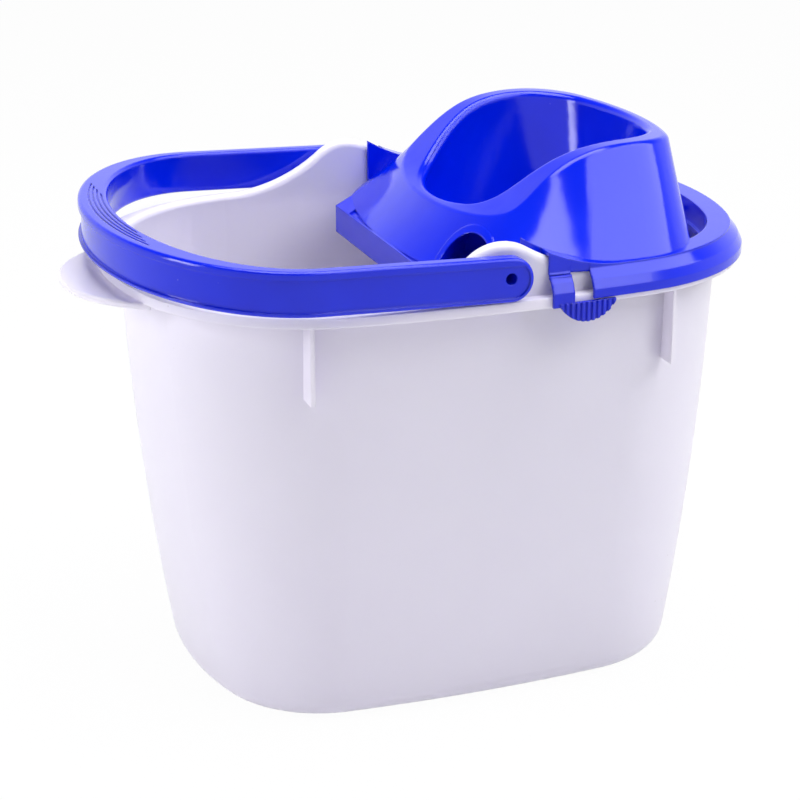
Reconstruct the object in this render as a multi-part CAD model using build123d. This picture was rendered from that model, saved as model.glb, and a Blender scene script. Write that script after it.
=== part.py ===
from build123d import *
from dataclasses import dataclass
from math import atan2, cos, degrees, hypot, radians, sin, sqrt
import os

# Oval mop bucket with a clip-on wringer and a folding carrying handle.
# Millimetres, +Z up.  X runs along the bucket (the wringer is at +X, the tipping
# tab at -X), Y across it, and the origin is the middle of the bucket's base.

# ---- driving dimensions ---------------------------------------------------
# bucket tub
BASE_HALF_LENGTH = 159.4
BASE_HALF_WIDTH = 119.4
MOUTH_HALF_LENGTH = 186.2
MOUTH_HALF_WIDTH = 137.6
LIP_BOTTOM = 262.0          # height of the lip's lower edge
WALL = 2.5                  # tub wall
FLOOR = 3.0                 # tub floor
WALL_SWELL = 0.7            # how far the wall bows out between base and mouth
BASE_ROUNDING = 14.0        # radius between floor and wall, outside

# rolled rim, lip and ears
RIM_REACH = 7.0             # rolled rim, outward from the tub wall
RIM_SKIN = 2.5
RIM_ROUNDING = 4.2
RIM_RISE = 9.5              # rim above the lip's lower edge, along the pouring end
RIM_STEP = 8.1              # the rim is this much higher where the wringer sits
LIP_REACH = 14.4            # lip, outward from the tub wall
LIP_HEIGHT = 6.0
LIP_SKIN = 2.5
EAR_RADIUS = 30.0
EAR_RISE = 29.5             # ears above the rim at the pouring end
EAR_SWEEP = 84.0            # length of the rim's rise towards the ears
EAR_FOOT_RADIUS = 120.0     # where the ears run out on the wringer's side

# tipping tab
TAB_REACH = 26.4            # beyond the lip
TAB_RADIUS = 76.0
TAB_THICKNESS = 4.0
TAB_DROP = 1.5              # its middle, below the lip's lower edge
TAB_ROUNDING = 1.2

# stacking fins
FIN_X = (-114.0, 111.0)
FIN_THICKNESS = 2.5
FIN_REACH = 12.0
FIN_HEIGHT = 47.0

# pivot of the handle
PIVOT_DEPTH = 18.4          # below the top of the ears
PIN_RADIUS = 6.0
PIN_BORE = 3.4
PIN_END = 2.0               # solid end of the hollow pin
PIN_PLAY = 0.05             # running clearance, on the radius
BOSS_RADIUS = 10.0

# handle
HANDLE_LENGTH = 210.3       # pivot to the outside of the grip
HANDLE_BEND = 100.3         # length of the elliptical end
HANDLE_TILT = 1.7           # degrees, at rest on the bucket
ARM_WIDTH = 9.9
EYE_RADIUS = 13.1           # half the arm's height
EYE_OFFSET = (0.8, -0.8)    # middle of the eye, from the pivot
HANDLE_GAP = 0.5            # handle to ear, and handle to lip
HANDLE_ROUNDING = 2.2       # top edges
GRIP_WIDTH = 19.0
GRIP_SKIN = 2.6
HANDLE_RECESS = 2.0
HANDLE_TOP_BORDER = 5.0
HANDLE_LOW_BORDER = 2.6
GROOVE_COUNT = 4
GROOVE_FROM_EDGE = 4.4
GROOVE_PITCH = 2.7
GROOVE_WIDTH = 1.2
GROOVE_DEPTH = 0.8
GROOVE_LENGTH = 20.0        # how far the grooves run back from the end of the grip

# wringer
WRINGER_SKIN = 2.3
RIM_PLAY = 0.5              # wringer to rim
CHANNEL_REACH = 17.0        # channel, outward from the tub wall
CHANNEL_LIFT = 3.3          # lower edge of the channel, above the lip's lower edge
CHANNEL_SLOPE = ((8.5, 0.4), (14.0, 3.2), (19.4, 8.2))  # above the lip's lower edge, drawn in by
CHANNEL_START = 26.5        # the channel starts here, just past the ear
FLANGE_START = 14.0         # the inner flange starts here
DECK_HEIGHT = 18.0
DECK_FRONT = -23.0
DECK_SHOULDER = ((-23.0, 45.6), (29.8, -16.4))  # x, in from the mouth's half width
SHELF_WIDTH = 25.0          # level shelf along the shoulders, measured across the bucket
DECK_RECESS = 1.5           # depth of the sunk corners in front of the dome
DECK_EDGE = 1.5             # width left in front of them
SLOT_WIDTH = 9.0
SLOT_HALF_LENGTH = 70.0
SLOT_FROM_RIM = 7.5
NICHE_RADIUS = 20.7
NICHE_Y = 87.3              # the niche's middle line crosses the pivot line here
NICHE_TURN = 45.0
NICHE_DEPTH = 44.0          # from the pivot line to its back
NICHE_BORDER = 4.0
NICHE_RAISED = 0.8
DOME_FROM_END = 119.2       # middle of the dome, from the end of the mouth
DOME_HEIGHTS = (0.0, 26.0, 77.0)       # above the deck
FUNNEL_HEIGHTS = (-70.0, 26.0, 78.0)
CREST_ROUNDING = 4.6        # outer edge of the crest
CREST_INNER_ROUNDING = 4.0
CREST_LINE = (              # x from the dome's middle, height above the deck
    (-127.0, 24.5),
    (-67.0, 25.0),
    (-47.0, 31.0),
    (-23.0, 50.0),
    (-4.0, 63.0),
    (39.0, 71.0),
    (123.0, 68.0),
)

# strainer
STRAINER_TOP = -22.0        # below the deck
COLLAR_HEIGHT = 6.0
COLLAR_GAP = 0.3
DRAIN_WIDTH = 4.0
DRAIN_COUNT = 18
DRAIN_MARGIN = 6.0          # solid band above and below the drain slots

# latches
LATCH_WINDOW_START = 40.0
LATCH_WINDOW_END = 52.5
LATCH_TAB_RADIUS = 20.5
LATCH_TAB_CENTRE = 48.5
LATCH_TAB_DROP = 9.5        # below the lip's lower edge
LATCH_BAR_LIFT = 2.2        # above it
LATCH_STRAP_LIFT = 0.2
LATCH_HINGE_LIFT = 16.6
LATCH_SLIT = 0.4
RIB_COUNT = 11
RIB_WIDTH = 1.7
RIB_DEPTH = 0.9


@dataclass(frozen=True)
class Oval:
    """Oval of tangent arcs: flat arcs at the two ends and two sides, tighter corners."""

    half_length: float
    half_width: float
    end_radius: float
    side_radius: float
    corner_radius: float
    centre: float = 0.0

    def grown(self, by):
        return Oval(
            self.half_length + by,
            self.half_width + by,
            self.end_radius + by,
            self.side_radius + by,
            self.corner_radius + by,
            self.centre,
        )

    def toward(self, other, share):
        def mix(a, b):
            return a + (b - a) * share

        return Oval(
            mix(self.half_length, other.half_length),
            mix(self.half_width, other.half_width),
            mix(self.end_radius, other.end_radius),
            mix(self.side_radius, other.side_radius),
            mix(self.corner_radius, other.corner_radius),
            mix(self.centre, other.centre),
        )

    def corner_centre(self):
        """Centre of the corner arc that touches both the end arc and the side arc."""
        end_x = self.half_length - self.end_radius
        side_y = self.half_width - self.side_radius
        from_end = self.end_radius - self.corner_radius
        from_side = self.side_radius - self.corner_radius
        gap = hypot(end_x, side_y)
        along = (from_end**2 - from_side**2 + gap**2) / (2 * gap)
        aside = sqrt(from_end**2 - along**2)
        unit_x = -end_x / gap
        unit_y = side_y / gap
        x = end_x + unit_x * along - unit_y * aside
        y = unit_y * along + unit_x * aside
        return x, y

    def edges(self):
        end_x = self.half_length - self.end_radius
        side_y = self.half_width - self.side_radius
        x, y = self.corner_centre()
        end_turn = degrees(atan2(y, x - end_x))
        side_turn = degrees(atan2(y - side_y, x))
        middle = self.centre
        arcs = [CenterArc((middle + end_x, 0), self.end_radius, -end_turn, 2 * end_turn)]
        arcs += [CenterArc((middle + x, y), self.corner_radius, end_turn, side_turn - end_turn)]
        arcs += [CenterArc((middle, side_y), self.side_radius, side_turn, 180 - 2 * side_turn)]
        arcs += [CenterArc((middle - x, y), self.corner_radius, 180 - side_turn, side_turn - end_turn)]
        arcs += [CenterArc((middle - end_x, 0), self.end_radius, 180 - end_turn, 2 * end_turn)]
        arcs += [CenterArc((middle - x, -y), self.corner_radius, 180 + end_turn, side_turn - end_turn)]
        arcs += [CenterArc((middle, -side_y), self.side_radius, 180 + side_turn, 180 - 2 * side_turn)]
        arcs += [CenterArc((middle + x, -y), self.corner_radius, -side_turn, side_turn - end_turn)]
        return arcs

    def face(self, height=0.0):
        return Pos(0, 0, height) * make_face(self.edges())

    def prism(self, bottom, top):
        return extrude(self.face(bottom), top - bottom)


# ---- heights and plans that follow from the above -------------------------
FAR_OUT = 300.0             # beyond the bucket in every direction
OVERLAP = 1.0               # how far joined and cutting bodies run into each other
LIP_TOP = LIP_BOTTOM + LIP_HEIGHT
RIM_TOP = LIP_BOTTOM + RIM_RISE
RIM_TOP_WRINGER = RIM_TOP + RIM_STEP
EAR_TOP = RIM_TOP + EAR_RISE
EAR_CENTRE = (-1.0, EAR_TOP - EAR_RADIUS)
PIVOT_HEIGHT = EAR_TOP - PIVOT_DEPTH
ARM_FACE = MOUTH_HALF_WIDTH + RIM_REACH + HANDLE_GAP
HANDLE_TOP = PIVOT_HEIGHT + EYE_OFFSET[1] + EYE_RADIUS
HANDLE_LOW = HANDLE_TOP - 2 * EYE_RADIUS
DECK_TOP = LIP_TOP
DECK_BOTTOM = DECK_TOP - DECK_HEIGHT
DOME_X = MOUTH_HALF_LENGTH - DOME_FROM_END
BASE = Oval(BASE_HALF_LENGTH, BASE_HALF_WIDTH, 220.0, 1030.0, 73.0)
MOUTH = Oval(MOUTH_HALF_LENGTH, MOUTH_HALF_WIDTH, 213.0, 872.0, 103.0)
DOME = (
    Oval(89.0, MOUTH_HALF_WIDTH + 18.4, 376.0, 240.0, 62.0, DOME_X),
    Oval(74.75, 128.0, 300.0, 170.0, 50.0, DOME_X + 12.75),
    Oval(57.85, 84.5, 190.0, 160.0, 46.0, DOME_X + 26.85),
)
FUNNEL = (
    Oval(38.0, 42.0, 60.0, 55.0, 30.0, DOME_X + 21.0),
    Oval(63.0, 70.0, 110.0, 120.0, 50.0, DOME_X + 10.0),
    Oval(47.5, 76.0, 180.0, 120.0, 36.0, DOME_X + 26.5),
)


# ---- shared shapes --------------------------------------------------------
def across(face, start=-FAR_OUT, end=FAR_OUT):
    """Extrude an X-Z outline across the bucket, from one Y to another."""
    return Pos(0, end, 0) * extrude(Plane.XZ * face, end - start)


def beyond(x):
    """Everything on the wringer's side of an X."""
    return Pos(x + FAR_OUT, 0, 0) * Box(2 * FAR_OUT, 4 * FAR_OUT, 4 * FAR_OUT)


def under(height):
    """Everything below a height."""
    return Pos(0, 0, height - FAR_OUT) * Box(4 * FAR_OUT, 4 * FAR_OUT, 2 * FAR_OUT)


def both_sides(piece):
    return piece + mirror(piece, Plane.XZ)


def under_rim_line(raised=0.0):
    """Everything under the rim line: low end, sweep up to the ear, wringer end."""
    ear_x, ear_z = EAR_CENTRE
    ear_radius = EAR_RADIUS + raised
    sweep_x = ear_x - EAR_SWEEP
    rise = RIM_TOP - ear_z
    sweep_radius = (EAR_SWEEP**2 + rise**2 - EAR_RADIUS**2) / (2 * (EAR_RADIUS - rise))
    sweep_z = RIM_TOP + sweep_radius
    foot_radius = EAR_FOOT_RADIUS
    foot_z = RIM_TOP_WRINGER + foot_radius
    foot_x = ear_x + sqrt((EAR_RADIUS + foot_radius) ** 2 - (foot_z - ear_z) ** 2)
    left_turn = degrees(atan2(sweep_z - ear_z, sweep_x - ear_x))
    right_turn = degrees(atan2(foot_z - ear_z, foot_x - ear_x))
    low_top = RIM_TOP + raised
    high_top = RIM_TOP_WRINGER + raised
    edges = [Line((-FAR_OUT, low_top), (sweep_x, low_top))]
    edges += [CenterArc((sweep_x, sweep_z), sweep_radius - raised, -90, left_turn - 90)]
    edges += [CenterArc(EAR_CENTRE, ear_radius, left_turn, right_turn - left_turn)]
    edges += [CenterArc((foot_x, foot_z), foot_radius - raised, 180 + right_turn, 90 - right_turn)]
    edges += [Line((foot_x, high_top), (FAR_OUT, high_top))]
    edges += [Polyline((FAR_OUT, high_top), (FAR_OUT, 0), (-FAR_OUT, 0), (-FAR_OUT, low_top))]
    return across(make_face(edges))


def tub_section(height, inset=0.0):
    share = height / LIP_BOTTOM
    share += WALL_SWELL * share * (1 - share)
    return BASE.toward(MOUTH, share).grown(-inset).face(height)


def pivot_axis_cylinder(radius, inner_y, outer_y):
    """A cylinder on the handle's pivot line, on the +Y side."""
    turned = Rot(-90, 0, 0) * Cylinder(radius, outer_y - inner_y)
    return Pos(0, (inner_y + outer_y) / 2, PIVOT_HEIGHT) * turned


# ---- bucket ---------------------------------------------------------------
def tub_outside():
    heights = [0, LIP_BOTTOM / 3, LIP_BOTTOM * 2 / 3, LIP_BOTTOM]
    tub = loft([tub_section(z) for z in heights])
    return fillet(tub.edges().group_by(Axis.Z)[0], BASE_ROUNDING)


def tub_inside():
    heights = [FLOOR, LIP_BOTTOM / 3, LIP_BOTTOM * 2 / 3, LIP_BOTTOM]
    tub = loft([tub_section(z, WALL) for z in heights])
    tub = fillet(tub.edges().group_by(Axis.Z)[0], BASE_ROUNDING - WALL)
    return tub + MOUTH.grown(-WALL).prism(LIP_BOTTOM, FAR_OUT + EAR_TOP)


def rolled_rim():
    rim = MOUTH.grown(RIM_REACH).prism(LIP_BOTTOM, 2 * EAR_TOP)
    rim -= MOUTH.grown(-WALL).prism(LIP_BOTTOM, 2 * EAR_TOP)
    rim &= under_rim_line()
    top = rim.edges().filter_by(lambda e: e.center().Z > LIP_TOP)
    top = top.filter_by(Axis.Y, reverse=True).filter_by(Axis.Z, reverse=True)
    return fillet(top, RIM_ROUNDING)


def rim_hollow():
    """The rolled rim is a thin inverted channel, except around the pivot bore."""
    hollow = MOUTH.grown(RIM_REACH - RIM_SKIN).prism(LIP_BOTTOM, EAR_TOP)
    hollow -= MOUTH.prism(LIP_BOTTOM, EAR_TOP)
    hollow &= under_rim_line(-RIM_SKIN)
    boss = pivot_axis_cylinder(BOSS_RADIUS, 0, FAR_OUT)
    return hollow - both_sides(boss)


def lip():
    plate = MOUTH.grown(LIP_REACH).prism(LIP_BOTTOM, LIP_TOP)
    hollow = MOUTH.grown(LIP_REACH - LIP_SKIN).prism(LIP_BOTTOM, LIP_TOP - LIP_SKIN)
    hollow -= MOUTH.grown(RIM_REACH).prism(LIP_BOTTOM, LIP_TOP - LIP_SKIN)
    return plate - hollow


def tipping_tab():
    """Rounded tongue at the pouring end, level with the lip's lower edge."""
    root = MOUTH.grown(LIP_REACH)
    tip = -root.half_length - TAB_REACH
    disc = Pos(tip + TAB_RADIUS, 0, LIP_BOTTOM - TAB_DROP) * Cylinder(TAB_RADIUS, TAB_THICKNESS)
    disc = fillet(disc.edges().filter_by(GeomType.CIRCLE), TAB_ROUNDING)
    return disc - root.grown(-LIP_SKIN).prism(0, FAR_OUT)


def fins():
    block = MOUTH.grown(FIN_REACH).prism(LIP_BOTTOM - FIN_HEIGHT, LIP_BOTTOM + LIP_SKIN)
    planes = [Pos(x, 0, LIP_BOTTOM) * Box(FIN_THICKNESS, 4 * MOUTH_HALF_WIDTH, 4 * FIN_HEIGHT) for x in FIN_X]
    return block & Part() + planes


def bucket():
    solid = tub_outside() + rolled_rim() + lip() + tipping_tab() + fins()
    solid -= rim_hollow()
    solid -= tub_inside()
    bore = pivot_axis_cylinder(PIN_RADIUS + PIN_PLAY, MOUTH_HALF_WIDTH, FAR_OUT)
    return solid - both_sides(bore)


# ---- handle ---------------------------------------------------------------
def handle_plan(share=0.0):
    """Plan of the handle's outline (share 0), of its inner edge (1) or between them."""
    half_width = ARM_FACE + (1 - share) * ARM_WIDTH
    bend_x = HANDLE_BEND - HANDLE_LENGTH
    eye_x = EYE_OFFSET[0] + EYE_RADIUS
    depth = HANDLE_BEND - share * GRIP_WIDTH
    end = EllipticalCenterArc((bend_x, 0), depth, half_width, start_angle=90, arc_size=180)
    arms = Polyline((bend_x, -half_width), (eye_x, -half_width), (eye_x, half_width), (bend_x, half_width))
    return make_face([end, arms])


def handle_side(top_border=0.0, low_border=0.0):
    """Side view of the handle: a straight bar with a round eye at the pivot."""
    top = HANDLE_TOP - top_border
    low = HANDLE_LOW + low_border
    length = HANDLE_LENGTH + OVERLAP
    bar = Pos(EYE_OFFSET[0] - length / 2, (top + low) / 2) * Rectangle(length, top - low)
    eye = Pos(EYE_OFFSET[0], HANDLE_LOW + EYE_RADIUS) * Circle(EYE_RADIUS - low_border)
    below = Pos(0, top - 2 * EYE_RADIUS) * Rectangle(4 * EYE_RADIUS, 4 * EYE_RADIUS)
    return across(bar + (eye & below))


def handle_ring(outer_share, inner_share, bottom, top):
    ring = handle_plan(outer_share) - handle_plan(inner_share)
    return extrude(Pos(0, 0, bottom) * ring, top - bottom)


def handle_grooves():
    grooves = Part()
    for number in range(GROOVE_COUNT):
        start = 1 - (GROOVE_FROM_EDGE + number * GROOVE_PITCH) / GRIP_WIDTH
        grooves += handle_ring(start, start + GROOVE_WIDTH / GRIP_WIDTH, HANDLE_TOP - GROOVE_DEPTH, FAR_OUT * 2)
    return grooves - beyond(GROOVE_LENGTH - HANDLE_LENGTH)


def grip_hollow():
    """The grip is an inverted channel, open below."""
    outer = (HANDLE_RECESS + GRIP_SKIN) / GRIP_WIDTH
    hollow = handle_ring(outer, 1 - GRIP_SKIN / GRIP_WIDTH, 0, HANDLE_TOP - GROOVE_DEPTH - GRIP_SKIN)
    return hollow - beyond(HANDLE_BEND - HANDLE_LENGTH)


def pivot_pin():
    return pivot_axis_cylinder(PIN_RADIUS, MOUTH_HALF_WIDTH + HANDLE_GAP, ARM_FACE + OVERLAP)


def handle():
    body = handle_ring(0, 1, HANDLE_LOW, HANDLE_TOP) & handle_side()
    body = fillet(body.edges().group_by(Axis.Z)[-1], HANDLE_ROUNDING)
    recess = handle_ring(0, HANDLE_RECESS / GRIP_WIDTH, 0, 2 * FAR_OUT)
    body -= recess & handle_side(HANDLE_TOP_BORDER, HANDLE_LOW_BORDER)
    body -= grip_hollow()
    body -= handle_grooves()
    body = body.rotate(Axis((0, 0, PIVOT_HEIGHT), (0, 1, 0)), HANDLE_TILT)
    body += both_sides(pivot_pin())
    bore = pivot_axis_cylinder(PIN_BORE, MOUTH_HALF_WIDTH + HANDLE_GAP + PIN_END, FAR_OUT)
    return body - both_sides(bore)


# ---- wringer --------------------------------------------------------------
def rim_band(inner, outer, bottom, top=FAR_OUT):
    return MOUTH.grown(outer).prism(bottom, top) - MOUTH.grown(inner).prism(bottom, top)


def channel_profile(inset=0.0):
    """Solid inside the channel's skirt, which draws in towards its top."""
    drawn_in = CHANNEL_SLOPE[-1][1]
    levels = [(-DECK_HEIGHT, 0.0), *CHANNEL_SLOPE, (FAR_OUT, drawn_in)]
    sections = [MOUTH.grown(CHANNEL_REACH - inset - by).face(LIP_BOTTOM + lift) for lift, by in levels]
    return loft(sections, ruled=True)


def channel():
    """Inverted channel over the rim and the lip, with an inner flange."""
    top_skin = RIM_PLAY + WRINGER_SKIN
    inner = -WALL - RIM_PLAY
    hood = channel_profile() - MOUTH.grown(inner - WRINGER_SKIN).prism(0, 2 * FAR_OUT)
    hood &= under_rim_line(top_skin) & beyond(CHANNEL_START)
    hood -= under(LIP_BOTTOM + CHANNEL_LIFT)
    flange = rim_band(inner - WRINGER_SKIN, inner, DECK_BOTTOM) & under_rim_line(top_skin)
    return hood + (flange & beyond(FLANGE_START))


def rim_clearance():
    """Room for the rim and the lip inside the channel."""
    room = channel_profile(CHANNEL_REACH - LIP_REACH - RIM_PLAY)
    room += MOUTH.grown(RIM_REACH + RIM_PLAY).prism(LIP_TOP, 2 * EAR_TOP)
    room &= under_rim_line(RIM_PLAY)
    return room - MOUTH.grown(-WALL - RIM_PLAY).prism(0, 2 * FAR_OUT)


def shouldered(narrower):
    """Outline with a straight front and angled shoulders, open towards the wringer's end."""
    corners = [(x, MOUTH_HALF_WIDTH - inward - narrower) for x, inward in DECK_SHOULDER]
    outline = corners + [(FAR_OUT, corners[-1][1])]
    outline += [(x, -y) for x, y in reversed(outline)]
    return make_face(Polyline(*outline, close=True))


def deck_plan(inset=0.0):
    """Plan of the deck: straight front, angled shoulders that clear the ears."""
    plate = offset(shouldered(0), -inset, kind=Kind.INTERSECTION)
    return plate & MOUTH.grown(-WALL - RIM_PLAY - inset).face()


def deck_recess():
    """Sunk floor between the shelf along the shoulders and the foot of the dome."""
    inside = extrude(Pos(0, 0, DECK_TOP - DECK_RECESS) * shouldered(SHELF_WIDTH), FAR_OUT)
    inside &= beyond(DECK_FRONT + DECK_EDGE) - beyond(DOME_X)
    return inside - DOME[0].prism(DECK_BOTTOM, 2 * FAR_OUT)


def crest_side(lowered=0.0):
    """Everything under the dome's crest line, seen from the side."""
    points = [(DOME_X + x, DECK_TOP + rise - lowered) for x, rise in CREST_LINE]
    start = points[0]
    end = points[-1]
    edges = [Spline(*points)]
    edges += [Polyline(end, (end[0], DECK_BOTTOM), (start[0], DECK_BOTTOM), start)]
    return across(make_face(edges))


def dome_loft(inset=0.0):
    return loft([oval.grown(-inset).face(DECK_TOP + rise) for oval, rise in zip(DOME, DOME_HEIGHTS)])


def funnel_loft(grown=0.0):
    return loft([oval.grown(grown).face(DECK_TOP + rise) for oval, rise in zip(FUNNEL, FUNNEL_HEIGHTS)])


def niche(grown=0.0):
    """Half-round niche in the dome's front corner on the -Y side, standing on the deck."""
    radius = NICHE_RADIUS + grown
    arch = Circle(radius) & Pos(0, radius - grown) * Rectangle(2 * radius, 2 * radius)
    tunnel = Pos(-NICHE_DEPTH - grown, 0, 0) * extrude(Plane.YZ * arch, FAR_OUT)
    return Pos(0, -NICHE_Y, DECK_TOP) * Rot(0, 0, -90 - NICHE_TURN) * tunnel


def niche_border():
    """Raised border around the niche."""
    return (niche(NICHE_BORDER) & dome_loft(-NICHE_RAISED)) - under(DECK_TOP)


def dome_outside():
    shell = (dome_loft() & crest_side()) - funnel_loft()
    crest = shell.faces().filter_by(GeomType.EXTRUSION)[0]
    shell = fillet(crest.outer_wire().edges(), CREST_ROUNDING)
    crest = shell.faces().filter_by(GeomType.EXTRUSION)[0]
    shell = fillet(crest.inner_wires()[0].edges(), CREST_INNER_ROUNDING)
    over_rim = MOUTH.grown(CHANNEL_REACH - CHANNEL_SLOPE[-1][1]).prism(DECK_TOP, 2 * FAR_OUT)
    room = extrude(deck_plan(), FAR_OUT * 2) + (over_rim & beyond(CHANNEL_START))
    return ((shell + niche_border()) & room) - niche()


def wringer_hollow():
    """Underside of the deck and of the dome, between its flanks and the funnel."""
    plan = deck_plan(WRINGER_SKIN)
    under_deck = extrude(Pos(0, 0, DECK_BOTTOM) * plan, DECK_HEIGHT - DECK_RECESS - WRINGER_SKIN)
    under_dome = dome_loft(WRINGER_SKIN) + DOME[0].grown(-WRINGER_SKIN).prism(DECK_BOTTOM, DECK_TOP)
    under_dome &= crest_side(WRINGER_SKIN)
    under_dome &= extrude(plan, FAR_OUT * 2)
    return (under_deck + under_dome) - niche(WRINGER_SKIN) - funnel_loft(WRINGER_SKIN)


def funnel_tube():
    """Lower funnel, open below, and the deck around it."""
    tube = (funnel_loft(WRINGER_SKIN) & under(DECK_BOTTOM + WRINGER_SKIN)) - under(DECK_TOP + STRAINER_TOP)
    tube += extrude(Pos(0, 0, DECK_BOTTOM) * deck_plan(), DECK_HEIGHT) - deck_recess()
    return tube - funnel_loft()


def wringer():
    body = funnel_tube() + dome_outside()
    body -= wringer_hollow()
    body += channel()
    body -= rim_clearance()
    slot = rim_band(-SLOT_FROM_RIM - SLOT_WIDTH, -SLOT_FROM_RIM, DECK_BOTTOM, DECK_TOP + OVERLAP)
    slot &= beyond(DOME_X) & Box(2 * FAR_OUT, 2 * SLOT_HALF_LENGTH, 2 * FAR_OUT)
    body -= slot
    return body - latch_opening()


# ---- strainer -------------------------------------------------------------
def drain_slots():
    slots = Part()
    bottom = DECK_TOP + FUNNEL_HEIGHTS[0] + DRAIN_MARGIN
    height = DECK_TOP + STRAINER_TOP - DRAIN_MARGIN - bottom
    for number in range(DRAIN_COUNT):
        slot = Pos(FAR_OUT / 2, 0, bottom + height / 2) * Box(FAR_OUT, DRAIN_WIDTH, height)
        slots += Pos(FUNNEL[0].centre, 0, 0) * (Rot(0, 0, number * 360 / DRAIN_COUNT) * slot)
    return slots


def strainer():
    """Slotted basket below the funnel, with a collar around the funnel's lower end."""
    top = DECK_TOP + STRAINER_TOP
    floor = under(DECK_TOP + FUNNEL_HEIGHTS[0] + WRINGER_SKIN)
    inside = WRINGER_SKIN + COLLAR_GAP
    basket = (funnel_loft(WRINGER_SKIN) & under(top)) - drain_slots()
    collar = (funnel_loft(inside + WRINGER_SKIN) & under(top + COLLAR_HEIGHT)) - under(top - WRINGER_SKIN)
    collar -= funnel_loft(inside) - under(top)
    return basket + collar - (funnel_loft() - floor)


# ---- latches --------------------------------------------------------------
def strap_axis(radius, start, end):
    """A cylinder on the latch's living hinge, on the +Y side."""
    middle = (start + end) / 2
    wall_y = MOUTH.half_width - MOUTH.side_radius + sqrt(MOUTH.side_radius**2 - middle**2)
    lifts, drawn_in = zip(*CHANNEL_SLOPE)
    share = (LATCH_HINGE_LIFT - lifts[1]) / (lifts[2] - lifts[1])
    outer = CHANNEL_REACH - drawn_in[1] - share * (drawn_in[2] - drawn_in[1])
    inner = outer - CHANNEL_REACH + LIP_REACH + RIM_PLAY
    turned = Rot(0, 90, 0) * Cylinder(radius, end - start)
    return Pos(middle, wall_y + (outer + inner) / 2, LIP_BOTTOM + LATCH_HINGE_LIFT) * turned


def latch_tab():
    """Side view of the thumb tab: a disc cut off straight along its top."""
    middle = LIP_BOTTOM - LATCH_TAB_DROP + LATCH_TAB_RADIUS
    top = LIP_BOTTOM + LATCH_BAR_LIFT
    square = Rectangle(2 * LATCH_TAB_RADIUS, 2 * LATCH_TAB_RADIUS)
    disc = Pos(LATCH_TAB_CENTRE, middle) * Circle(LATCH_TAB_RADIUS)
    return disc & Pos(LATCH_TAB_CENTRE, top - LATCH_TAB_RADIUS) * square


def latch_strap(slit=0.0):
    """Side view of the strap, from below its hinge to the tab."""
    width = LATCH_WINDOW_START - CHANNEL_START
    height = LATCH_HINGE_LIFT - LATCH_STRAP_LIFT
    middle = Pos(CHANNEL_START + width / 2, LIP_BOTTOM + LATCH_STRAP_LIFT + height / 2)
    return middle * Rectangle(width + 2 * slit, height)


def latch_opening():
    """The skirt is open behind the strap and the window."""
    window = LATCH_WINDOW_END - LATCH_WINDOW_START
    strap = across(latch_strap(LATCH_SLIT), MOUTH_HALF_WIDTH)
    strap += strap_axis(WRINGER_SKIN / 2 + LATCH_SLIT, CHANNEL_START - OVERLAP, LATCH_WINDOW_START + LATCH_SLIT)
    opening = Pos(LATCH_WINDOW_START + window / 2, RIM_TOP_WRINGER) * Rectangle(window, 2 * DECK_HEIGHT)
    strap += across(opening, MOUTH_HALF_WIDTH + RIM_REACH)
    return both_sides(strap)


def latch():
    outline = latch_strap() + latch_tab()
    plate = channel_profile() - channel_profile(CHANNEL_REACH - LIP_REACH - RIM_PLAY)
    plate &= across(outline, 0, FAR_OUT)
    plate += strap_axis(WRINGER_SKIN / 2, CHANNEL_START, LATCH_WINDOW_START)
    pitch = 2 * LATCH_TAB_RADIUS / (RIB_COUNT + 1)
    ribs = Sketch()
    for number in range(RIB_COUNT):
        x = LATCH_TAB_CENTRE + (number - (RIB_COUNT - 1) / 2) * pitch
        ribs += Pos(x, LIP_BOTTOM) * Rectangle(RIB_WIDTH, 4 * LATCH_TAB_RADIUS)
    raised = rim_band(CHANNEL_REACH - RIB_DEPTH, CHANNEL_REACH + RIB_DEPTH, DECK_BOTTOM)
    return plate + (raised & across(latch_tab() & ribs, 0, FAR_OUT))


def main():
    os.makedirs("parts", exist_ok=True)
    export_step(bucket(), "parts/bucket.step")
    export_step(handle(), "parts/handle.step")
    export_step(wringer(), "parts/wringer.step")
    export_step(strainer(), "parts/strainer.step")
    export_step(mirror(latch(), Plane.XZ), "parts/latch_near.step")
    export_step(latch(), "parts/latch_far.step")


if __name__ == "__main__":
    main()
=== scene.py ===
import math
from dataclasses import dataclass

import bpy
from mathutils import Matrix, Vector

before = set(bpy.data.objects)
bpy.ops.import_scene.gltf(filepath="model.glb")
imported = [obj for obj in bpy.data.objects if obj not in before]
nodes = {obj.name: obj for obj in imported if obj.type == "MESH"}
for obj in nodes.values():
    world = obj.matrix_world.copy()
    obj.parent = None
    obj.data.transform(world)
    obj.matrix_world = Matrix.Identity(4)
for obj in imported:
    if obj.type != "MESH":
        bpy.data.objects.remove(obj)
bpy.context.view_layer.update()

# Finishes, floor, light and camera for the mop bucket with its wringer.  Every
# visible piece is a CAD solid, so this script adds surfaces and no shapes.
# Metres, watts and degrees; colours are linear, strengths plain numbers.

# ---- camera -----------------------------------------------------------------------
CAMERA_AT = (-0.4419, -1.1791, 0.6132)
CAMERA_DOWN = 19.88         # below level
CAMERA_TURN = 20.08         # from +Y towards +X
LENS = 92.56                # mm
SENSOR = 36.0               # mm
FAR_CLIP = 50.0

# ---- floor ------------------------------------------------------------------------
FLOOR_SIZE = 12.0
FLOOR_DROP = 0.0004         # below the bucket's base, so that the faces don't fight
FLOOR_COLOUR = (0.85, 0.85, 0.87, 1.0)
FLOOR_GLOW = 0.97           # share of plain white where the floor is seen directly
WHITE = (1.0, 1.0, 1.0, 1.0)

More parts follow.
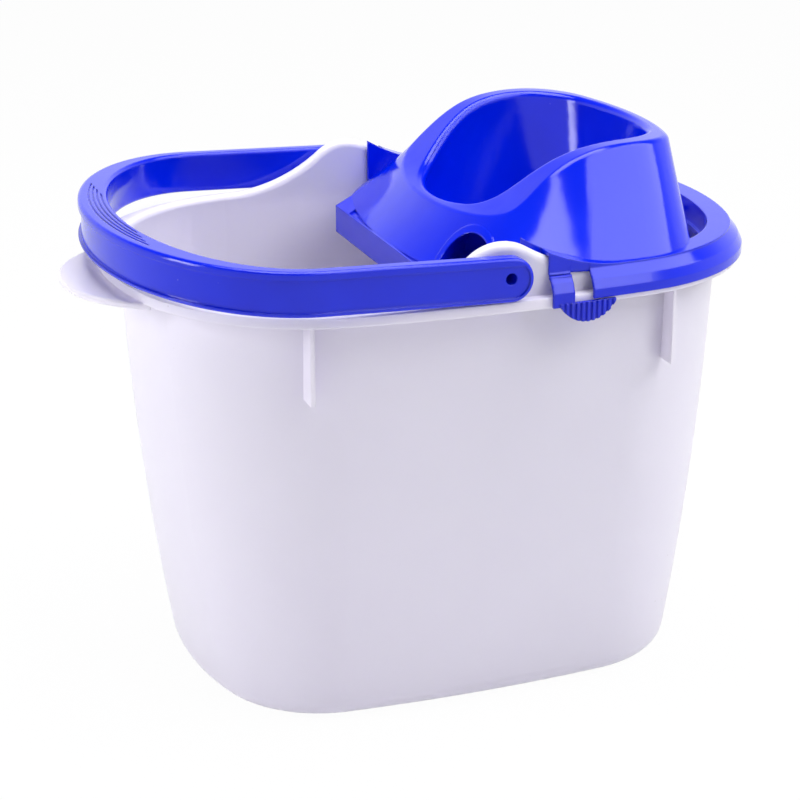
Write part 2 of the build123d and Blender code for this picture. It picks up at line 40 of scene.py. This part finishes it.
# ---- light ------------------------------------------------------------------------
LAMPS = (                   # name, place, aim, width, height, power
    ("right", (1.15, -0.8, 1.75), (0.0, 0.0, 0.2), 2.0, 1.5, 36.0),
    ("left", (-1.95, 0.15, 0.8), (0.0, 0.0, 0.15), 0.6, 1.0, 18.5),
    ("top", (0.0, 0.2, 2.1), (0.0, 0.0, 0.2), 1.4, 1.4, 35.0),
)
ROOM_LIGHT = 0.20           # even light of the room on the object
WALL_GLOW = 1.0             # what the room shows in reflections, low down
CEILING_GLOW = 0.12         # and high up
WALL_TOP = 0.3              # height of a direction where the walls begin to fade
CEILING_START = 0.6         # and where the ceiling is reached

# ---- grain of the mouldings ---------------------------------------------------------
WAVE_DETAIL = 2.0
GRAIN_DETAIL = 3.0
SPECK_CORE = 0.02           # distance from a speck's middle, in its own cells
SPECK_EDGE = 0.05
SPECK_FIELD_SCALE = 9.0     # where specks are found at all
SPECK_FIELD_DETAIL = 1.0
SPECK_FIELD_LOW = 0.62
SPECK_FIELD_HIGH = 0.66
SCUFF_SCALE = 22.0
SCUFF_DETAIL = 4.0
SCUFF_BREAKUP = 0.65
SCUFF_LOW = 0.60
SCUFF_HIGH = 0.72
SCUFF_STRETCH = (1.0, 1.0, 12.0)
SCUFF_TURN = (0.3, 0.5, 0.2)    # radians
EDGE_SAMPLES = 4
RELIEF = 0.002              # full height of the skin's waviness


@dataclass(frozen=True)
class Finish:
    """What one moulded plastic has of its own."""

    colour: tuple           # main tone
    second_colour: tuple    # tone that the mottling leads to
    mottle_low: float       # mottling below this keeps the main tone
    mottle_high: float      # above this it takes its full share
    mottle_share: float
    wave_scale: float
    grain_scale: float
    grain: float
    speck_scale: float
    speck_amount: float
    speck_colour: tuple
    roughness: float        # clean skin
    scuffed_roughness: float
    reflection: float       # specular level
    relief_strength: float
    edge_radius: float      # softness of the moulded edges
    glow: float = 0.0       # share of light that travels through the skin


POLYPROPYLENE_IOR = 1.49
GLOW_RADIUS = (1.0, 0.95, 1.0)
GLOW_DEPTH = 0.008

WHITE_FINISH = Finish(
    colour=(0.79, 0.755, 0.88, 1.0),
    second_colour=(0.74, 0.70, 0.83, 1.0),
    mottle_low=0.3,
    mottle_high=0.7,
    mottle_share=0.25,
    wave_scale=16.0,
    grain_scale=1400.0,
    grain=0.05,
    speck_scale=70.0,
    speck_amount=0.5,
    speck_colour=(0.45, 0.42, 0.45, 1.0),
    roughness=0.30,
    scuffed_roughness=0.33,
    reflection=0.4,
    relief_strength=0.08,
    edge_radius=0.001,
    glow=0.5,
)
BLUE_FINISH = Finish(
    colour=(0.0, 0.009, 0.62, 1.0),
    second_colour=(0.0, 0.020, 0.78, 1.0),
    mottle_low=0.0,
    mottle_high=1.0,
    mottle_share=1.0,
    wave_scale=22.0,
    grain_scale=1200.0,
    grain=0.03,
    speck_scale=90.0,
    speck_amount=0.35,
    speck_colour=(0.25, 0.28, 0.75, 1.0),
    roughness=0.11,
    scuffed_roughness=0.16,
    reflection=0.45,
    relief_strength=0.10,
    edge_radius=0.0014,
)


# ---- node helpers -------------------------------------------------------------------
def feed(tree, socket, value):
    """Link a socket to a node's output, or set a constant on it."""
    if isinstance(value, bpy.types.NodeSocket):
        tree.links.new(value, socket)
    else:
        socket.default_value = value


def math_node(tree, operation, *values):
    node = tree.nodes.new("ShaderNodeMath")
    node.operation = operation
    for number, value in enumerate(values):
        feed(tree, node.inputs[number], value)
    return node.outputs["Value"]


def map_range(tree, value, low, high, to_low, to_high):
    node = tree.nodes.new("ShaderNodeMapRange")
    feed(tree, node.inputs["Value"], value)
    node.inputs["From Min"].default_value = low
    node.inputs["From Max"].default_value = high
    node.inputs["To Min"].default_value = to_low
    node.inputs["To Max"].default_value = to_high
    return node.outputs["Result"]


def noise(tree, place, scale, detail, breakup=0.5):
    node = tree.nodes.new("ShaderNodeTexNoise")
    feed(tree, node.inputs["Vector"], place)
    feed(tree, node.inputs["Scale"], scale)
    node.inputs["Detail"].default_value = detail
    node.inputs["Roughness"].default_value = breakup
    return node.outputs["Fac"]


def mix_colour(tree, share, first, second):
    node = tree.nodes.new("ShaderNodeMix")
    node.data_type = "RGBA"
    feed(tree, node.inputs["Factor"], share)
    for name, value in (("A", first), ("B", second)):
        feed(tree, next(s for s in node.inputs if s.name == name and s.type == "RGBA"), value)
    return next(s for s in node.outputs if s.type == "RGBA")


def object_place(tree):
    return tree.nodes.new("ShaderNodeTexCoord").outputs["Object"]


def seen_directly(tree):
    """One where the camera looks, straight on, through the skin or in a reflection."""
    path = tree.nodes.new("ShaderNodeLightPath")
    straight = math_node(tree, "MAXIMUM", path.outputs["Is Camera Ray"], path.outputs["Is Transmission Ray"])
    return math_node(tree, "MAXIMUM", straight, path.outputs["Is Glossy Ray"])


def empty_material(name):
    material = bpy.data.materials.new(name)
    material.use_nodes = True
    material.node_tree.nodes.clear()
    return material, material.node_tree


def surface(tree, shader):
    output = tree.nodes.new("ShaderNodeOutputMaterial")
    tree.links.new(shader, output.inputs["Surface"])


# ---- shared surface effects -----------------------------------------------------------
def new_group(name, inputs, outputs):
    group = bpy.data.node_groups.new(name, "ShaderNodeTree")
    for socket in inputs:
        group.interface.new_socket(socket, in_out="INPUT", socket_type="NodeSocketFloat")
    for socket in outputs:
        group.interface.new_socket(socket, in_out="OUTPUT", socket_type="NodeSocketFloat")
    given = group.nodes.new("NodeGroupInput").outputs
    made = group.nodes.new("NodeGroupOutput").inputs
    return group, given, made


def moulded_skin_group():
    """Slow waviness of a moulded wall and a very fine tool texture."""
    inputs = ["Wave Scale", "Grain Scale", "Grain"]
    group, given, made = new_group("moulded skin", inputs, ["Height", "Mottle"])
    place = object_place(group)
    wave = noise(group, place, given["Wave Scale"], WAVE_DETAIL)
    grain = noise(group, place, given["Grain Scale"], GRAIN_DETAIL)
    height = math_node(group, "MULTIPLY_ADD", grain, given["Grain"], wave)
    feed(group, made["Height"], height)
    feed(group, made["Mottle"], wave)
    return group


def handling_marks_group():
    """Pin-prick specks and thin scuffs, as two masks."""
    inputs = ["Speck Scale", "Amount"]
    group, given, made = new_group("handling marks", inputs, ["Specks", "Scuffs"])
    place = object_place(group)
    dots = group.nodes.new("ShaderNodeTexVoronoi")
    feed(group, dots.inputs["Vector"], place)
    feed(group, dots.inputs["Scale"], given["Speck Scale"])
    specks = map_range(group, dots.outputs["Distance"], SPECK_CORE, SPECK_EDGE, 1.0, 0.0)
    field = noise(group, place, SPECK_FIELD_SCALE, SPECK_FIELD_DETAIL)
    chosen = map_range(group, field, SPECK_FIELD_LOW, SPECK_FIELD_HIGH, 0.0, 1.0)
    sparse = math_node(group, "MULTIPLY", specks, chosen)
    feed(group, made["Specks"], math_node(group, "MULTIPLY", sparse, given["Amount"]))
    stretch = group.nodes.new("ShaderNodeMapping")
    stretch.inputs["Scale"].default_value = SCUFF_STRETCH
    stretch.inputs["Rotation"].default_value = SCUFF_TURN
    feed(group, stretch.inputs["Vector"], place)
    lines = noise(group, stretch.outputs["Vector"], SCUFF_SCALE, SCUFF_DETAIL, SCUFF_BREAKUP)
    feed(group, made["Scuffs"], map_range(group, lines, SCUFF_LOW, SCUFF_HIGH, 0.0, 1.0))
    return group


def place_group(tree, group, **values):
    node = tree.nodes.new("ShaderNodeGroup")
    node.node_tree = group
    for name, value in values.items():
        node.inputs[name.replace("_", " ")].default_value = value
    return node.outputs


SKIN = moulded_skin_group()
MARKS = handling_marks_group()


# ---- materials --------------------------------------------------------------------------
def soft_edged_relief(tree, height, finish):
    """Normal of the wavy skin, rounded over the moulded edges."""
    edges = tree.nodes.new("ShaderNodeBevel")
    edges.samples = EDGE_SAMPLES
    edges.inputs["Radius"].default_value = finish.edge_radius
    relief = tree.nodes.new("ShaderNodeBump")
    relief.inputs["Strength"].default_value = finish.relief_strength
    relief.inputs["Distance"].default_value = RELIEF
    feed(tree, relief.inputs["Normal"], edges.outputs["Normal"])
    feed(tree, relief.inputs["Height"], height)
    return relief.outputs["Normal"]


def moulded_plastic(name, finish):
    material, tree = empty_material(name)
    shader = tree.nodes.new("ShaderNodeBsdfPrincipled")
    surface(tree, shader.outputs["BSDF"])
    skin = place_group(
        tree, SKIN, Wave_Scale=finish.wave_scale, Grain_Scale=finish.grain_scale, Grain=finish.grain
    )
    marks = place_group(tree, MARKS, Speck_Scale=finish.speck_scale, Amount=finish.speck_amount)
    shade = map_range(tree, skin["Mottle"], finish.mottle_low, finish.mottle_high, 0.0, finish.mottle_share)
    tone = mix_colour(tree, shade, finish.colour, finish.second_colour)
    tone = mix_colour(tree, marks["Specks"], tone, finish.speck_colour)
    dullness = map_range(tree, marks["Scuffs"], 0.0, 1.0, finish.roughness, finish.scuffed_roughness)
    feed(tree, shader.inputs["Base Color"], tone)
    feed(tree, shader.inputs["Roughness"], dullness)
    feed(tree, shader.inputs["Normal"], soft_edged_relief(tree, skin["Height"], finish))
    shader.inputs["IOR"].default_value = POLYPROPYLENE_IOR
    shader.inputs["Specular IOR Level"].default_value = finish.reflection
    shader.inputs["Subsurface Weight"].default_value = finish.glow
    shader.inputs["Subsurface Radius"].default_value = GLOW_RADIUS
    shader.inputs["Subsurface Scale"].default_value = GLOW_DEPTH
    return material


def pale_floor():
    """Plain white where it is seen directly, a pale matt floor for the light."""
    material, tree = empty_material("pale floor")
    matt = tree.nodes.new("ShaderNodeBsdfDiffuse")
    matt.inputs["Color"].default_value = FLOOR_COLOUR
    glow = tree.nodes.new("ShaderNodeEmission")
    glow.inputs["Color"].default_value = WHITE
    share = map_range(tree, seen_directly(tree), 0.0, 1.0, 0.0, FLOOR_GLOW)
    mix = tree.nodes.new("ShaderNodeMixShader")
    feed(tree, mix.inputs["Fac"], share)
    tree.links.new(matt.outputs["BSDF"], mix.inputs[1])
    tree.links.new(glow.outputs["Emission"], mix.inputs[2])
    surface(tree, mix.outputs["Shader"])
    return material


# ---- the object ---------------------------------------------------------------------------
def finish_mouldings():
    white = moulded_plastic("white polypropylene", WHITE_FINISH)
    blue = moulded_plastic("blue polypropylene", BLUE_FINISH)
    finishes = {
        "bucket": (white, "white_plastic"),
        "handle": (blue, "blue_plastic"),
        "wringer": (blue, "blue_plastic"),
        "strainer": (blue, "blue_plastic"),
        "latch_near": (blue, "blue_plastic"),
        "latch_far": (blue, "blue_plastic"),
    }
    for name, (material, slot) in finishes.items():
        piece = nodes[name]
        piece.data.materials.clear()
        piece.data.materials.append(material)


# ---- studio ---------------------------------------------------------------------------------
def link(thing):
    bpy.context.scene.collection.objects.link(thing)


def floor():
    half = FLOOR_SIZE / 2
    corners = [(-half, -half, 0), (half, -half, 0), (half, half, 0), (-half, half, 0)]
    mesh = bpy.data.meshes.new("floor")
    mesh.from_pydata(corners, [], [(0, 1, 2, 3)])
    mesh.materials.append(pale_floor())
    plane = bpy.data.objects.new("floor", mesh)
    plane.location.z = -FLOOR_DROP
    link(plane)


def soft_lamp(name, place, target, width, height, power):
    data = bpy.data.lights.new(name, "AREA")
    data.shape = "RECTANGLE"
    data.size = width
    data.size_y = height
    data.energy = power
    lamp = bpy.data.objects.new(name, data)
    lamp.location = place
    aim = Vector(target) - Vector(place)
    lamp.rotation_euler = aim.to_track_quat("-Z", "Y").to_euler()
    link(lamp)


def room():
    """Even room light, with bright walls under a dim ceiling for the reflections."""
    world = bpy.data.worlds.new("studio")
    world.use_nodes = True
    tree = world.node_tree
    back = tree.nodes["Background"]
    split = tree.nodes.new("ShaderNodeSeparateXYZ")
    feed(tree, split.inputs["Vector"], tree.nodes.new("ShaderNodeTexCoord").outputs["Generated"])
    walls = map_range(tree, split.outputs["Z"], WALL_TOP, CEILING_START, WALL_GLOW, CEILING_GLOW)
    strength = tree.nodes.new("ShaderNodeMix")
    feed(tree, strength.inputs["Factor"], seen_directly(tree))
    feed(tree, strength.inputs["A"], ROOM_LIGHT)
    feed(tree, strength.inputs["B"], walls)
    feed(tree, back.inputs["Strength"], strength.outputs["Result"])
    back.inputs["Color"].default_value = WHITE
    bpy.context.scene.world = world


def camera():
    data = bpy.data.cameras.new("camera")
    data.lens = LENS
    data.sensor_width = SENSOR
    data.clip_end = FAR_CLIP
    view = bpy.data.objects.new("camera", data)
    view.location = CAMERA_AT
    view.rotation_euler = (math.radians(90 - CAMERA_DOWN), 0.0, math.radians(-CAMERA_TURN))
    link(view)
    bpy.context.scene.camera = view


finish_mouldings()
floor()
for lamp in LAMPS:
    soft_lamp(*lamp)
room()
camera()

scene = bpy.context.scene
scene.view_settings.view_transform = "Standard"
